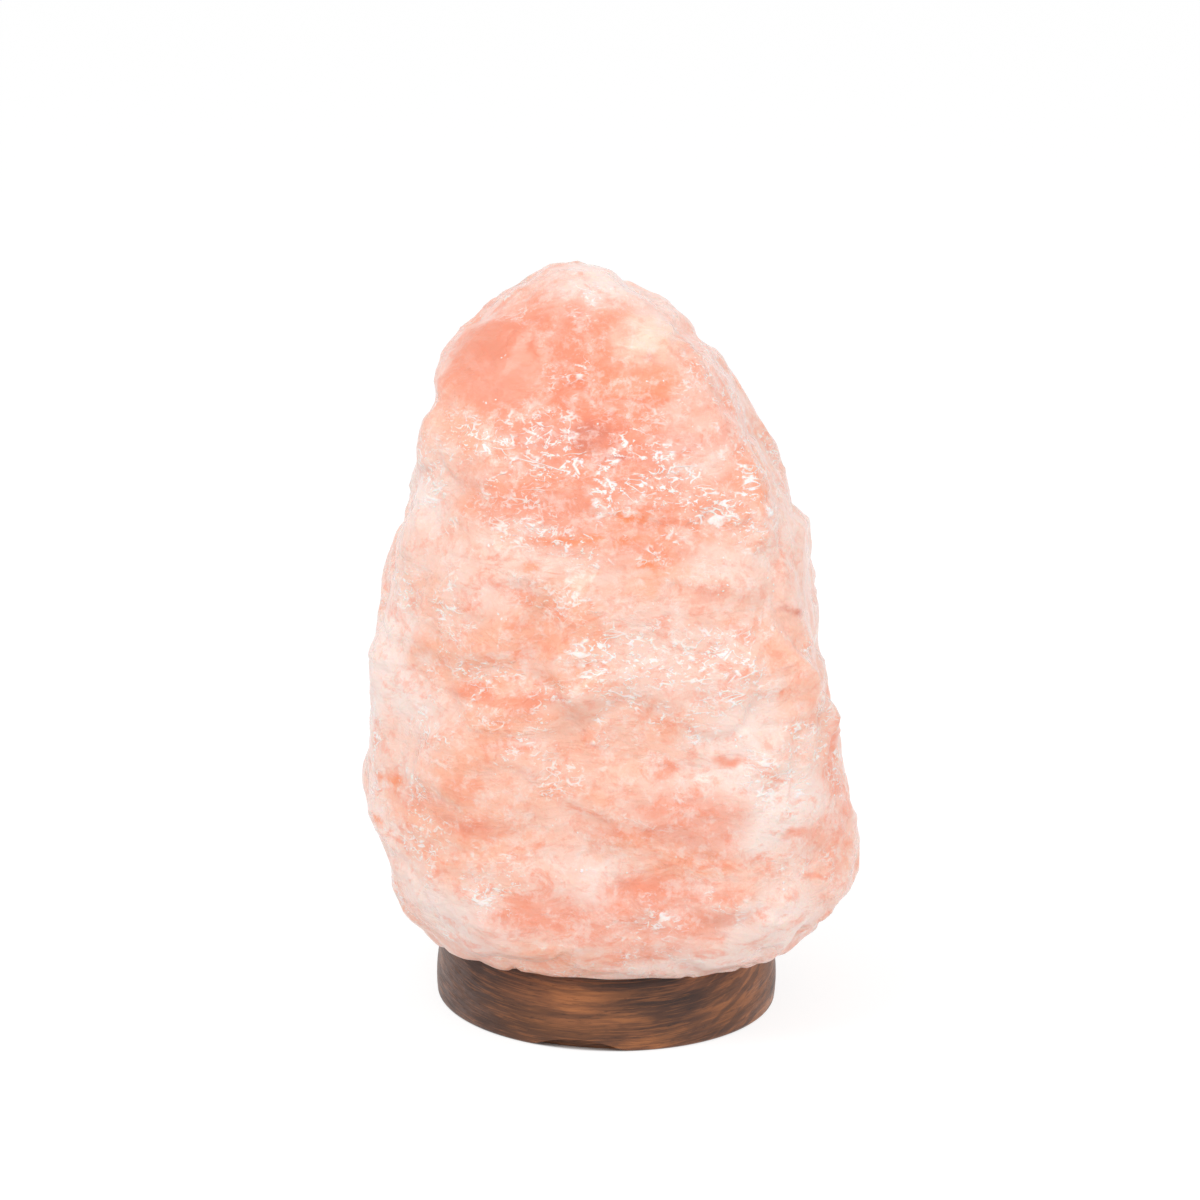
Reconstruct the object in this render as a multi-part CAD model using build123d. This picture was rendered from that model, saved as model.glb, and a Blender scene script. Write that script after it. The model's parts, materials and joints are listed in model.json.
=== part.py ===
from build123d import *
import math
import os

# Salt crystal lamp: a hewn rock of salt, hollowed from below, on a turned wooden base.
# A small-screw bulb holder is pushed up through the base and held there by two spring wings.
# Millimetres, +Z up, +X to the right and +Y to the back. The origin is at the centre of the underside.

# ---- wooden base ----
base_diameter = 110.0        # widest, at the belly of the turned side
base_height = 25.0
belly_height = 9.0           # height of the widest place
top_draw_in = 3.5            # how much smaller the radius is at the top than at the belly
foot_draw_in = 0.4           # and at the foot
base_edge_round = 1.4
base_bore = 54.0             # the hole that the bulb and its holder go through
recess_diameter = 90.0       # hollow underside
recess_depth = 9.0
scallop_width = 30.0         # shallow scoops in the outer edge of the foot
scallop_height = 3.7
scallop_depth = 3.2          # how far a scoop reaches in from the foot's outer edge
scallop_directions = (261.0, 21.0, 141.0)
cord_notch_width = 8.0       # lets the cord out at the back
cord_notch_height = 8.0

# ---- salt crystal ----
crystal_width = 156.0
crystal_depth = 138.0
crystal_height = 212.0
cavity_diameter = 56.0
cavity_depth = 110.0
cavity_roof_round = 10.0

# Broad faces of the rock: compass direction and lean in degrees, then the place of the face as a
# share of the half width or depth and of the height. Direction 0 is right, 90 back, 270 front.
# Lean 0 is upright, 90 faces up and a negative lean faces down.
rock_faces = (
    # left side, from the foot to the summit
    (180, -44, 0.90, 0.05),
    (180, 3, 1.03, 0.24),
    (178, 32, 1.02, 0.40),
    (173, 55, 0.84, 0.79),
    (185, 74, 0.66, 0.945),
    # right side
    (0, -41, 0.995, 0.06),
    (2, 30, 1.04, 0.11),
    (5, 30, 0.88, 0.51),
    (351, 60, 0.765, 0.67),
    (3, 60, 0.40, 0.89),
    # front
    (270, 9, 1.02, 0.26),
    (272, 37, 0.95, 0.52),
    (261, 61, 0.77, 0.78),
    (272, 77, 0.45, 0.94),
    # front corners, left and right
    (221, 17, 1.10, 0.28),
    (218, 49, 0.98, 0.66),
    (319, 11, 1.14, 0.24),
    (322, 39, 0.98, 0.52),
    (314, 66, 0.74, 0.83),
    # back and its corners
    (90, 12, 1.02, 0.28),
    (96, 41, 0.92, 0.57),
    (88, 67, 0.63, 0.85),
    (139, 17, 1.10, 0.28),
    (144, 49, 0.92, 0.66),
    (41, 17, 1.10, 0.28),
    (44, 52, 0.86, 0.66),
    # summit
    (183, 79, 0.36, 1.003),
    (352, 74, 0.13, 0.957),
    (35, 70, 0.31, 0.94),
    # underside, drawn in all round towards the base
    (0, -73, 0.86, 0.01),
    (41, -71, 0.94, 0.02),
    (90, -75, 0.90, 0.01),
    (139, -71, 0.94, 0.02),
    (180, -73, 0.84, 0.01),
    (221, -71, 0.96, 0.02),
    (270, -75, 0.93, 0.01),
    (319, -71, 0.97, 0.02),
)
rock_sharpness = 20          # how crisply the faces meet: a higher power gives a harder edge
rock_heart_share = 0.45      # height of the point that all faces are measured from
rock_lean_share = -0.19      # how far the summit lies to the left of the base
rock_lean_from_share = 0.5   # height where the lean begins
# heights of the sections, close together at the foot and at the summit
rock_level_shares = (
    0, 0.015, 0.04, 0.08, 0.12, 0.17, 0.22, 0.27, 0.32, 0.37, 0.42, 0.47, 0.52, 0.57, 0.62, 0.67,
    0.72, 0.77, 0.82, 0.865, 0.905, 0.94, 0.97, 0.988, 0.996)
rock_sides = 40              # points round each level
# Lumps and hollows on the broad faces: direction and spread in degrees, height of the crest and how
# far it reaches up and down as shares of the height, rise as a share of the half width.
rock_lumps = (
    # left side: notch near the foot, crust half way up, flake under the shoulder
    (187, 28, 0.145, 0.045, 0.060, -0.078),
    (190, 25, 0.215, 0.060, 0.035, 0.022),
    (204, 15, 0.460, 0.060, 0.080, 0.024),
    (176, 20, 0.560, 0.060, 0.060, 0.016),
    (214, 17, 0.760, 0.090, 0.025, 0.034),
    (196, 20, 0.680, 0.030, 0.050, -0.022),
    (178, 24, 0.860, 0.050, 0.050, 0.020),
    # front: hollow face at the upper left, then ledges from the top down
    (228, 20, 0.890, 0.050, 0.050, -0.024),
    (276, 26, 0.915, 0.040, 0.020, 0.022),
    (262, 34, 0.790, 0.060, 0.022, 0.020),
    (280, 26, 0.690, 0.050, 0.022, 0.024),
    (250, 20, 0.640, 0.030, 0.060, -0.018),
    (246, 24, 0.590, 0.040, 0.022, 0.022),
    (292, 22, 0.590, 0.050, 0.025, 0.022),
    (266, 26, 0.520, 0.035, 0.040, -0.014),
    (258, 28, 0.430, 0.050, 0.022, 0.020),
    (288, 18, 0.470, 0.060, 0.030, 0.020),
    (274, 22, 0.350, 0.040, 0.040, -0.018),
    (270, 20, 0.260, 0.050, 0.022, 0.024),
    (236, 20, 0.300, 0.060, 0.040, 0.018),
    (282, 24, 0.180, 0.040, 0.040, -0.020),
    (246, 22, 0.150, 0.050, 0.040, 0.018),
    (308, 22, 0.120, 0.050, 0.040, 0.018),
    # right side: ridge beside a hollow strip, shoulder, dent
    (317, 9, 0.470, 0.200, 0.180, 0.034),
    (334, 10, 0.440, 0.160, 0.140, -0.034),
    (352, 22, 0.655, 0.040, 0.040, 0.032),
    (350, 24, 0.745, 0.040, 0.040, -0.022),
    (350, 22, 0.410, 0.040, 0.040, -0.040),
    (320, 16, 0.750, 0.040, 0.030, 0.022),
    # summit: dip on the right of the highest place
    (310, 16, 0.955, 0.020, 0.030, -0.016),
    # back, from the right to the left
    (30, 20, 0.520, 0.050, 0.060, 0.026),
    (24, 22, 0.180, 0.060, 0.050, 0.024),
    (48, 16, 0.360, 0.050, 0.060, -0.026),
    (62, 18, 0.680, 0.060, 0.030, 0.028),
    (66, 20, 0.200, 0.060, 0.050, 0.022),
    (84, 20, 0.460, 0.060, 0.025, 0.030),
    (92, 18, 0.820, 0.050, 0.050, -0.022),
    (100, 22, 0.320, 0.050, 0.060, -0.024),
    (112, 20, 0.620, 0.060, 0.030, 0.026),
    (118, 20, 0.160, 0.060, 0.050, 0.026),
    (134, 18, 0.440, 0.060, 0.050, -0.026),
    (140, 20, 0.760, 0.050, 0.040, 0.024),
    (152, 20, 0.290, 0.060, 0.030, 0.028),
    (160, 18, 0.580, 0.050, 0.050, -0.022),
)
rock_search_reach_ratio = 2  # the search for the rim starts this many half widths out
rock_search_steps = 30

# ---- screws and wall plugs between base and crystal ----
screw_diameter = 4.0
screw_length = 38.0
screw_head_diameter = 8.0
screw_head_height = 2.6
screw_slot_width = 1.2
screw_slot_depth = 1.1
screw_circle_radius = 37.0
screw_directions = (30.0, 150.0, 270.0)
screw_hole_clearance = 0.25
plug_diameter = 7.0
plug_length = 25.0
plug_clearance = 0.05
plug_sink = 0.3              # plug head below the face of the salt

# ---- bulb holder: moulded sleeve, cap, cord nipple and core ----
holder_diameter = 28.0
holder_wall = 2.2
sleeve_bottom = 34.0
sleeve_top = 64.0
sleeve_lip_thickness = 3.6
sleeve_mouth_diameter = 18.6
grip_rib_count = 24
grip_rib_size = 0.5
cap_bottom = 16.0
cap_shoulder = 24.0          # height where the cap reaches its full diameter
cap_foot_diameter = 17.0
cap_floor = 2.5
cap_spigot_length = 3.0
cap_spigot_wall = 1.6
holder_fit = 0.1             # radial play between the parts of the holder
nipple_diameter = 10.0
nipple_bore = 7.0
nipple_bottom = 9.6
nipple_inside_length = 2.0
nut_across_flats = 14.0
nut_height = 2.5
insert_floor = 5.0
insert_top_gap = 0.3
terminal_slot_width = 2.6

# ---- small-screw thread of bulb and shell ----
thread_pitch = 2.822
thread_outer_diameter = 13.89
thread_inner_diameter = 12.29
thread_clearance = 0.12      # radial, between cap and shell
shell_wall = 0.9
shell_height = 16.5

# ---- contacts and terminals ----
contact_thickness = 0.4
contact_width = 5.0
contact_length = 8.0
contact_crest_width = 2.0
contact_bend = 0.5
contact_gap = 0.1            # under the tip of the bulb
terminal_width = 5.0
terminal_height = 6.5
terminal_spacing = 12.0
wire_hole_diameter = 2.4
wire_hole_floor = 1.0        # left above the hole
terminal_screw_diameter = 3.0
terminal_screw_length = 4.5
terminal_screw_head = 5.0
terminal_screw_head_height = 1.6

# ---- spring clip ----
collar_bottom = 51.0
collar_height = 9.0
collar_thickness = 0.8
wing_thickness = 0.6
wing_width = 12.0
wing_hinge_height = 50.0
wing_wall_gap = 0.3          # corner of the wing to the bore of the base
wing_belly_height = 20.0
wing_belly_round = 3.0
wing_foot_height = 10.2
wing_foot_draw_in = 3.2
wing_end_gap = 0.3           # between the riveted root and the free wing
rivet_diameter = 2.4
rivet_head_diameter = 4.2
rivet_head_height = 0.8
rivet_spacing = 6.0
rivet_clearance = 0.03

# ---- bulb ----
bulb_tip_height = 44.0
tip_contact_diameter = 4.8
tip_contact_height = 0.8
insulator_height = 2.2
insulator_foot_diameter = 6.5
insulator_spigot = 1.4
running_gap = 0.05           # between the cap and its insulator
cap_sheet = 0.45
cap_thread_length = 14.2
cap_neck_length = 3.0
cap_skirt_diameter = 17.0
cap_skirt_height = 5.0
glass_diameter = 28.0
glass_wall = 0.8
glass_top = 101.0
glass_neck_diameter = 15.0
glass_neck_straight = 2.0
glass_cement_gap = 0.1
stem_foot_diameter = 12.0
stem_top_diameter = 3.0
stem_height = 14.0
stem_rim_height = 1.0
filament_diameter = 0.5
filament_rise = 8.2          # its ends above the stem
filament_span = 11.0
filament_drop = 3.0
lead_diameter = 0.8
lead_spread = 1.0
lead_straight = 2.0          # where a lead leaves the stem
lead_gap = 0.05              # under the filament
wire_bend = 1.0

# ---- cutting ----
cut_overrun = 1.0            # how far a cutter runs past the face that it opens

# ---- worked out from the sizes above ----
base_radius = base_diameter / 2
base_top_radius = base_radius - top_draw_in
base_foot_radius = base_radius - foot_draw_in
holder_radius = holder_diameter / 2
holder_inner_radius = holder_radius - holder_wall
thread_core = (thread_outer_diameter + thread_inner_diameter) / 4
thread_swing = (thread_outer_diameter - thread_inner_diameter) / 4
shell_outer_radius = thread_core + thread_swing + thread_clearance + shell_wall
cap_thread_bottom = bulb_tip_height + tip_contact_height + insulator_height
cap_thread_top = cap_thread_bottom + cap_thread_length
skirt_bottom = cap_thread_top + cap_neck_length
skirt_top = skirt_bottom + cap_skirt_height
cap_bore_radius = thread_core - thread_swing - cap_sheet
glass_bottom = skirt_bottom + cap_neck_length / 2 + glass_cement_gap
stem_top = glass_bottom + stem_height
filament_height = stem_top + filament_rise
insert_bottom = sleeve_bottom + cap_spigot_length
insert_top = sleeve_top - sleeve_lip_thickness - insert_top_gap
shell_bottom = insert_bottom + insert_floor
terminal_top = insert_bottom
wing_belly_reach = math.sqrt((base_bore / 2 - wing_wall_gap) ** 2 - (wing_width / 2) ** 2)
collar_outer_radius = holder_radius + holder_fit + collar_thickness
root_radius = collar_outer_radius + wing_thickness
wing_hinge_reach = root_radius - wing_thickness / 2
scallop_radius = ((scallop_width / 2) ** 2 + scallop_height ** 2) / (2 * scallop_height)


def at_direction(shape, angle):
    """Turn a shape about the lamp's axis."""
    return shape.rotate(Axis.Z, angle)


def ring(outer, inner, bottom, top):
    """Upright tube about the lamp's axis, from radii and heights."""
    height = top - bottom
    tube = Cylinder(outer, height, align=(Align.CENTER, Align.CENTER, Align.MIN))
    if inner > 0:
        tube -= Cylinder(inner, height, align=(Align.CENTER, Align.CENTER, Align.MIN))
    return Pos(0, 0, bottom) * tube


def post(radius, bottom, top, x=0.0, y=0.0):
    """Upright round bar."""
    bar = Cylinder(radius, top - bottom, align=(Align.CENTER, Align.CENTER, Align.MIN))
    return Pos(x, y, bottom) * bar


def turned(lines):
    """Solid of revolution from a closed line of the XZ half plane."""
    return revolve(Plane.XZ * make_face(lines), Axis.Z)


# ------------------------------------------------------------------ wooden base
def base_side():
    """Closed half section of the base before its holes: bellied side, small rounds top and bottom."""
    side = ThreePointArc((base_foot_radius, 0), (base_radius, belly_height), (base_top_radius, base_height))
    frame = Polyline((base_foot_radius, 0), (0, 0), (0, base_height), (base_top_radius, base_height))
    return make_face([side, frame])


def make_wooden_base():
    half = base_side()
    outer_corners = [v for v in half.vertices() if v.X > base_bore / 2]
    blank = revolve(Plane.XZ * fillet(outer_corners, base_edge_round), Axis.Z)
    blank -= post(base_bore / 2, -cut_overrun, base_height + cut_overrun)
    blank -= post(recess_diameter / 2, -cut_overrun, recess_depth)
    scoop = Cylinder(scallop_radius, base_radius, rotation=(0, 90, 0))
    scoop = Pos(base_radius, 0, scallop_height - scallop_radius) * scoop
    scoop -= post(base_foot_radius - scallop_depth, -scallop_radius * 2, scallop_height + cut_overrun)
    for angle in scallop_directions:
        blank -= at_direction(scoop, angle)
    notch = Box(cord_notch_width, base_radius, cord_notch_height, align=(Align.CENTER, Align.MIN, Align.MIN))
    blank -= Pos(0, base_bore / 2 + screw_head_diameter, 0) * notch
    for angle in screw_directions:
        blank -= at_direction(screw_hole(), angle)
    return blank


def screw_hole():
    """Countersunk clearance hole through the floor of the recess."""
    radius = screw_diameter / 2 + screw_hole_clearance
    head = screw_head_diameter / 2 + screw_hole_clearance
    hole = post(radius, recess_depth - cut_overrun, base_height + cut_overrun, screw_circle_radius)
    sink = Pos(screw_circle_radius, 0, recess_depth) * Cone(
        head, radius, screw_head_height, align=(Align.CENTER, Align.CENTER, Align.MIN))
    return hole + sink


# ------------------------------------------------------------------ salt crystal
def rock_planes():
    """Outward normal and distance from the heart of each broad face, in shares of the rock's size."""
    planes = []
    for direction, lean, reach, height in rock_faces:
        turn = math.radians(direction)
        tilt = math.radians(lean)
        normal = (math.cos(tilt) * math.cos(turn), math.cos(tilt) * math.sin(turn), math.sin(tilt))
        place = (reach * math.cos(turn), reach * math.sin(turn), height - rock_heart_share)
        planes.append((normal, sum(n * p for n, p in zip(normal, place))))
    return planes


def rock_fullness(planes, x, y, level):
    """Below 1 inside the rock and above 1 outside it."""
    total = 0.0
    for (nx, ny, nz), distance in planes:
        share = (nx * x + ny * y + nz * (level - rock_heart_share)) / distance
        total += max(0.0, share) ** rock_sharpness
    return total


def rock_rise(angle, level):
    """How far the lumps lift the rock's side at this angle and level."""
    total = 0.0
    for direction, spread, height, reach_up, reach_down, rise in rock_lumps:
        turn = (math.degrees(angle) - direction + 180) % 360 - 180
        climb = level - height
        reach = reach_up if climb > 0 else reach_down
        total += rise * math.exp(-(turn / spread) ** 2 - (climb / reach) ** 2)
    return total


def rock_rim(planes, level):
    """Points round the rock at one level, found by halving the distance from the leaning axis."""
    centre = rock_lean_share * max(0.0, (level - rock_lean_from_share) / (1 - rock_lean_from_share))
    points = []
    for side in range(rock_sides):
        angle = 2 * math.pi * side / rock_sides
        inside, outside = 0.0, rock_search_reach_ratio
        for _ in range(rock_search_steps):
            middle = (inside + outside) / 2
            if rock_fullness(planes, centre + middle * math.cos(angle), middle * math.sin(angle), level) < 1:
                inside = middle
            else:
                outside = middle
        radius = inside + rock_rise(angle, level)
        points.append((centre + radius * math.cos(angle), radius * math.sin(angle)))
    return points


def fill_size(value, low, high, size):
    """Carry a share between low and high to a place across the full size, centred on the axis."""
    return size * ((value - low) / (high - low) - 0.5)


def make_rock():
    """Smooth loft through the levels of the rock, as wide and deep as the sizes above."""
    planes = rock_planes()
    rims = [rock_rim(planes, level) for level in rock_level_shares]
    across = [x for rim in rims for x, y in rim]
    along = [y for rim in rims for x, y in rim]
    sections = []
    for level, rim in zip(rock_level_shares, rims):
        height = base_height + crystal_height * level / rock_level_shares[-1]
        points = [
            (fill_size(x, min(across), max(across), crystal_width),
             fill_size(y, min(along), max(along), crystal_depth), height)
            for x, y in rim
        ]
        sections.append(make_face(Spline(*points, periodic=True)))
    return loft(sections)


def make_salt_crystal():
    rock = make_rock()
    cavity = post(cavity_diameter / 2, base_height - cut_overrun, base_height + cavity_depth)
    cavity = fillet(cavity.edges().sort_by(Axis.Z)[-1], cavity_roof_round)
    rock -= cavity
    plug_end = base_height + plug_sink + plug_length + plug_clearance
    plug_hole_radius = plug_diameter / 2 + plug_clearance
    plug_hole = post(plug_hole_radius, base_height - cut_overrun, plug_end, screw_circle_radius)
    for angle in screw_directions:
        rock -= at_direction(plug_hole, angle)
    return rock


# ------------------------------------------------------------------ screws and plugs
def make_base_screw():
    """Countersunk wood screw, head down, with its slot and a pointed tip."""
    radius = screw_diameter / 2
    head = screw_head_diameter / 2
    tip_length = screw_diameter
    profile = Polyline(
        (0, recess_depth),
        (head, recess_depth),
        (radius, recess_depth + screw_head_height),
        (radius, recess_depth + screw_length - tip_length),
        (0, recess_depth + screw_length),
        close=True)
    slot = Box(screw_head_diameter, screw_slot_width, 2 * screw_slot_depth)
    return Pos(screw_circle_radius, 0, 0) * (turned(profile) - Pos(0, 0, recess_depth) * slot)


def make_wall_plug():
    """Plastic plug in the salt, slit along its length, open to the screw."""
    bottom = base_height + plug_sink
    plug = ring(plug_diameter / 2, screw_diameter / 2 + plug_clearance, bottom, bottom + plug_length)
    slit = Box(plug_diameter, screw_slot_width, plug_length / 2, align=(Align.MIN, Align.CENTER, Align.MIN))
    plug -= Pos(0, 0, bottom + plug_length / 2) * slit
    return Pos(screw_circle_radius, 0, 0) * plug


def around(shape, directions):
    """The same loose piece in each direction, as separate solids."""
    return Compound(children=[at_direction(shape, angle) for angle in directions])


# ------------------------------------------------------------------ bulb holder
def make_holder_sleeve():
    """Tubular skirt with an inward lip round the mouth and grip ribs on its lower half."""
    sleeve = ring(holder_radius, holder_inner_radius, sleeve_bottom, sleeve_top - sleeve_lip_thickness)
    sleeve += ring(holder_radius, sleeve_mouth_diameter / 2, sleeve_top - sleeve_lip_thickness, sleeve_top)
    rim = sleeve.edges().filter_by(GeomType.CIRCLE).group_by(Axis.Z)[-1].sort_by(SortBy.RADIUS)[-1]
    sleeve = fillet(rim, sleeve_lip_thickness / 3)
    rib_height = collar_bottom - sleeve_bottom - 2 * sleeve_lip_thickness
    rib = Cylinder(grip_rib_size, rib_height, align=(Align.CENTER, Align.CENTER, Align.MIN))
    rib = Pos(holder_radius, 0, sleeve_bottom + sleeve_lip_thickness) * rib
    for number in range(grip_rib_count):
        sleeve += at_direction(rib, 360 / grip_rib_count * number)
    return sleeve


def make_holder_cap():
    """Cup that closes the holder from below: a tapered foot, a full round wall and a spigot."""
    foot = cap_foot_diameter / 2
    inner = holder_inner_radius - holder_fit
    spigot_top = sleeve_bottom + cap_spigot_length
    spigot_inner = inner - cap_spigot_wall
    hole = nipple_diameter / 2 + holder_fit
    outline = Polyline(
        (hole, cap_bottom),
        (foot, cap_bottom),
        (holder_radius, cap_shoulder),
        (holder_radius, sleeve_bottom),
        (inner, sleeve_bottom),
        (inner, spigot_top),
        (spigot_inner, spigot_top),
        (spigot_inner, cap_shoulder),
        (foot - holder_wall, cap_bottom + cap_floor),
        (hole, cap_bottom + cap_floor),
        close=True)
    return turned(outline)


def make_cord_nipple():
    """Threaded tube with a hexagon under the cap's floor. The cord goes in through its bore."""
    top = cap_bottom + cap_floor + nipple_inside_length
    tube = ring(nipple_diameter / 2, nipple_bore / 2, nipple_bottom, top)
    hexagon = extrude(RegularPolygon(nut_across_flats / 2, 6, major_radius=False), nut_height)
    hexagon = Pos(0, 0, cap_bottom - nut_height) * hexagon
    hexagon -= post(nipple_bore / 2, cap_bottom - 2 * nut_height, cap_bottom + cut_overrun)
    return tube + hexagon


def make_socket_insert():
    """Insulating core: carries the screw shell from above and the terminals from below."""
    outer = holder_inner_radius - holder_fit
    core = ring(outer, 0, insert_bottom, insert_top)
    core -= post(shell_outer_radius + holder_fit, shell_bottom, insert_top + cut_overrun)
    slot = Box(
        terminal_slot_width, terminal_width, insert_floor + 2 * cut_overrun,
        align=(Align.CENTER, Align.CENTER, Align.MIN))
    for side in (-1, 1):
        core -= Pos(side * terminal_spacing / 4, 0, insert_bottom - cut_overrun) * slot
    return core


def threaded_bar(radius, bottom, length):
    """Bar with a knuckle thread: a disc swept upwards while its centre circles the axis."""
    centre_line = Helix(thread_pitch, length, thread_swing)
    disc = Face(Wire(Edge.make_circle(radius, Plane(origin=(thread_swing, 0, 0)))))
    return Pos(0, 0, bottom) * Solid.sweep(disc, centre_line, mode=Vector(0, 0, 1))


def thread_phase(bottom):
    """Turn that keeps a thread cut from this height in step with the bulb's cap."""
    return 360 * (bottom - cap_thread_bottom) / thread_pitch


def make_screw_shell():
    """Brass shell with the thread of the holder."""
    bottom = shell_bottom - cut_overrun
    bore = threaded_bar(thread_core + thread_clearance, bottom, shell_height + 2 * cut_overrun)
    bore = at_direction(bore, thread_phase(bottom))
    return ring(shell_outer_radius, 0, shell_bottom, shell_bottom + shell_height) - bore


def make_centre_contact():
    """Springy brass leaf, arched up from the floor of the core to the tip of the bulb."""
    floor = shell_bottom
    crest = bulb_tip_height - contact_gap - contact_thickness
    half = contact_length / 2
    foot = half / 2
    middle = contact_thickness / 2
    flat = contact_crest_width / 2
    left = [(-half, floor + middle), (-foot, floor + middle), (-flat, crest + middle)]
    right = [(-x, z) for x, z in reversed(left)]
    line = FilletPolyline(*left, *right, radius=contact_bend)
    return extrude(Plane.XZ * trace(line, contact_thickness), contact_width / 2, both=True)


def make_terminal_block():
    """Brass block with a hole for the wire from below and a threaded hole for its screw."""
    block = Box(
        terminal_width, terminal_width, terminal_height,
        align=(Align.CENTER, Align.CENTER, Align.MAX))
    block = Pos(0, 0, terminal_top) * block
    hole_end = terminal_top - wire_hole_floor
    block -= post(wire_hole_diameter / 2, terminal_top - terminal_height - cut_overrun, hole_end)
    hole = Cylinder(terminal_screw_diameter / 2 + rivet_clearance, 2 * terminal_width, rotation=(90, 0, 0))
    block -= Pos(0, 0, terminal_top - terminal_height / 2) * hole
    return Pos(terminal_spacing / 2, 0, 0) * block


def make_terminal_screw():
    """Cheese head screw with a slot."""
    middle = terminal_top - terminal_height / 2
    front = -terminal_width / 2
    shank = Cylinder(terminal_screw_diameter / 2, terminal_screw_length,
                     rotation=(90, 0, 0), align=(Align.CENTER, Align.CENTER, Align.MAX))
    head = Cylinder(terminal_screw_head / 2, terminal_screw_head_height,
                    rotation=(90, 0, 0), align=(Align.CENTER, Align.CENTER, Align.MIN))
    slot = Box(terminal_screw_head, screw_slot_depth, screw_slot_width / 2)
    screw = shank + head - Pos(0, -terminal_screw_head_height, 0) * slot
    return Pos(terminal_spacing / 2, front, middle) * screw


# ------------------------------------------------------------------ spring clip
def make_clip_collar():
    """Steel band round the sleeve."""
    inner = holder_radius + holder_fit
    band = ring(inner + collar_thickness, inner, collar_bottom, collar_bottom + collar_height)
    flat = Box(collar_thickness, wing_width, collar_height, align=(Align.MAX, Align.CENTER, Align.MIN))
    pads = Pos(collar_outer_radius, 0, collar_bottom) * flat
    pads += Pos(-collar_outer_radius + collar_thickness, 0, collar_bottom) * flat
    band += pads - post(inner, collar_bottom - cut_overrun, collar_bottom + collar_height + cut_overrun)
    for side in (0, 180):
        for y in (-rivet_spacing / 2, rivet_spacing / 2):
            band -= at_direction(rivet_bar(rivet_diameter / 2 + rivet_clearance, y), side)
    return band


def rivet_bar(radius, y):
    """Level bar through collar and wing root."""
    length = root_radius - holder_radius + cut_overrun
    bar = Cylinder(radius, length, rotation=(0, 90, 0), align=(Align.CENTER, Align.CENTER, Align.MIN))
    return Pos(holder_radius, y, collar_bottom + collar_height / 2) * bar


def make_wing_root():
    """Upper end of a wing, flat on the collar's pad and riveted to it, with its bend below."""
    bottom = wing_hinge_height + wing_thickness / 2 + wing_end_gap
    top = collar_bottom + collar_height
    root = Box(wing_thickness, wing_width, top - bottom, align=(Align.MIN, Align.CENTER, Align.MIN))
    root = Pos(collar_outer_radius, 0, bottom) * root
    for y in (-rivet_spacing / 2, rivet_spacing / 2):
        root -= rivet_bar(rivet_diameter / 2 + rivet_clearance, y)
    return root


def make_rivet(y):
    """Rivet with a round head outside; its shank ends flush inside the collar."""
    inner = holder_radius + holder_fit
    grip = root_radius - inner
    shank = rivet_diameter / 2
    head = rivet_head_diameter / 2
    top = grip + rivet_head_height
    round_radius = (head ** 2 + rivet_head_height ** 2) / (2 * rivet_head_height)
    half_turn = math.asin(head / round_radius) / 2
    halfway = (round_radius * math.sin(half_turn), top - round_radius * (1 - math.cos(half_turn)))
    crown = ThreePointArc((head, grip), halfway, (0, top))
    body = Polyline((0, top), (0, 0), (shank, 0), (shank, grip), (head, grip))
    rivet = revolve(Plane.XZ * make_face([crown, body]), Axis.Z).rotate(Axis.Y, 90)
    return Pos(inner, y, collar_bottom + collar_height / 2) * rivet


def make_wing():
    """Free length of a spring wing: out and down to the bore of the base, then back in to a finger end."""
    half = wing_thickness / 2
    belly = wing_belly_reach - half
    foot = belly - wing_foot_draw_in
    line = FilletPolyline(
        (wing_hinge_reach, wing_hinge_height), (belly, wing_belly_height), (foot, wing_foot_height),
        radius=wing_belly_round)
    strip = trace(line, wing_thickness)
    wing = extrude(Plane.XZ * strip, wing_width / 2, both=True)
    knuckle = Cylinder(half, wing_width, rotation=(90, 0, 0))
    return wing + Pos(wing_hinge_reach, 0, wing_hinge_height) * knuckle


# ------------------------------------------------------------------ bulb
def make_bulb_tip_contact():
    """Flat solder dome under the insulator."""
    contact = ring(tip_contact_diameter / 2, 0, bulb_tip_height, bulb_tip_height + tip_contact_height)
    lower = contact.edges().sort_by(Axis.Z)[0]
    return fillet(lower, tip_contact_height / 2)


def make_bulb_cap_insulator():
    """Dark glass ring that closes the cap, with a spigot inside it."""
    bottom = bulb_tip_height + tip_contact_height
    top = cap_thread_bottom - running_gap
    shoulder = thread_core - thread_swing
    spigot = cap_bore_radius - running_gap
    outline = Polyline(
        (0, bottom),
        (insulator_foot_diameter / 2, bottom),
        (shoulder, top),
        (spigot, top),
        (spigot, top + insulator_spigot),
        (0, top + insulator_spigot),
        close=True)
    return turned(outline)


def make_bulb_cap():
    """Sheet metal cap: threaded part, plain neck and flared skirt, hollow inside."""
    cap = threaded_bar(thread_core, cap_thread_bottom, cap_thread_length)
    neck = thread_core
    skirt = cap_skirt_diameter / 2
    glass_seat = glass_neck_diameter / 2 + glass_cement_gap
    seat_height = skirt_bottom + cap_neck_length / 2
    flare = turned(Polyline(
        (0, cap_thread_top),
        (neck, cap_thread_top),
        (neck, skirt_bottom),
        (skirt, seat_height),
        (skirt, skirt_top),
        (0, skirt_top),
        close=True))
    cap += flare
    cap -= post(cap_bore_radius, cap_thread_bottom - cut_overrun, skirt_bottom + cap_neck_length)
    cap -= post(glass_seat, seat_height, skirt_top + cut_overrun)
    return cap


def make_bulb_glass():
    """Thin envelope: straight neck, swelling side, round crown."""
    radius = glass_diameter / 2
    neck = glass_neck_diameter / 2
    outside = glass_body(radius, neck, glass_top, 0)
    return outside - glass_body(radius - glass_wall, neck - glass_wall, glass_top - glass_wall, cut_overrun)


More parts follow.
